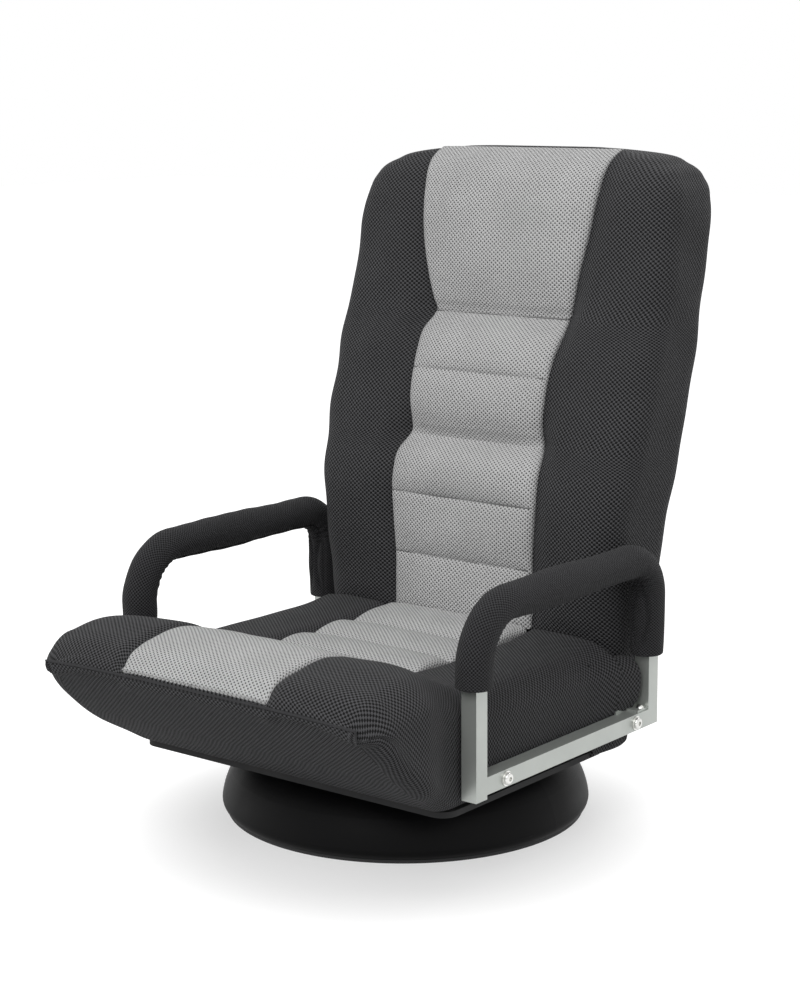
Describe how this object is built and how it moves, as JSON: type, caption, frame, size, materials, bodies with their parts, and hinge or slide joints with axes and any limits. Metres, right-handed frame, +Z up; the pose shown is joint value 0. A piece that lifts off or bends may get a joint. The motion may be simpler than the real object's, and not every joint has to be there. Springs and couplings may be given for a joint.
{
  "type": "floor gaming chair",
  "caption": "Legless floor chair that swivels on a round base, with a reclining channelled back, rolled-nose seat and padded loop armrests.",
  "frame": {"origin": "centre of the base's underside on the floor, on the swivel axis", "axes": "+Z up, the chair faces -Y, +X to the sitter's left"},
  "size_m": [0.55, 0.7091, 0.791],
  "materials": {
    "mesh_black": "black 3-D air mesh over foam",
    "mesh_grey": "grey 3-D air mesh over foam",
    "sleeve": "black mesh sleeve over foam",
    "silver_paint": "light silver-grey paint",
    "zinc": "bright zinc plate",
    "frame_paint": "black paint",
    "base_shell": "smooth black",
    "floor_pad": "dark rubber",
    "under_board": "black lined board",
    "plug": "black moulding"
  },
  "bodies": {
    "base": {"base_cover": "base_shell", "base_pad": "floor_pad", "base_plate": "frame_paint", "base_plate_screws": "zinc", "lower_race": "zinc", "lower_race_rivets": "zinc", "king_pin": "zinc", "king_washer": "zinc", "king_nut": "zinc"},
    "ball_ring": {"bearing_balls": "zinc", "ball_cage": "plug"},
    "seat": {"upper_race": "zinc", "upper_race_rivets": "zinc", "swivel_plate": "frame_paint", "swivel_bolts": "zinc", "seat_side_rail_left": "frame_paint", "seat_side_rail_right": "frame_paint", "seat_front_rail": "frame_paint", "seat_rear_rail": "frame_paint", "seat_cross_bars": "frame_paint", "seat_cushion": "mesh_black", "seat_channel_panel": "mesh_grey", "seat_nose_panel": "mesh_grey", "underside_cover": "under_board", "arm_frame_left": "silver_paint", "arm_frame_right": "silver_paint", "arm_bar_left": "silver_paint", "arm_bar_right": "silver_paint", "arm_end_plugs": "plug", "arm_pad_left": "sleeve", "arm_pad_right": "sleeve", "arm_bolts": "zinc", "arm_washers": "zinc", "arm_spacers": "zinc", "arm_nuts": "zinc", "corner_brackets": "silver_paint", "corner_screws": "zinc", "hinge_seat_leaf_left": "frame_paint", "hinge_seat_leaf_right": "frame_paint"},
    "back": {"back_cushion": "mesh_black", "back_rear_cover": "mesh_black", "back_head_panel": "mesh_grey", "back_lumbar_panel": "mesh_grey", "back_frame": "frame_paint", "back_straps": "frame_paint", "hinge_back_leaf_left": "frame_paint", "hinge_back_leaf_right": "frame_paint", "hinge_pins": "zinc", "hinge_pawls": "zinc"}
  },
  "joints": [
    {"name": "swivel", "type": "hinge", "parent": "base", "child": "seat", "pos_m": [0, 0, 0.084], "axis": [0, 0, 1], "continuous": true},
    {"name": "ball_roll", "type": "hinge", "parent": "base", "child": "ball_ring", "pos_m": [0, 0, 0.084], "axis": [0, 0, 1], "continuous": true},
    {"name": "recline", "type": "hinge", "parent": "seat", "child": "back", "pos_m": [0, 0.178, 0.18], "axis": [-1, 0, 0], "range_deg": [-12, 76]}
  ],
  "couplings": [
    {"joint": "ball_roll", "follows": "swivel", "ratio": 0.5}
  ]
}
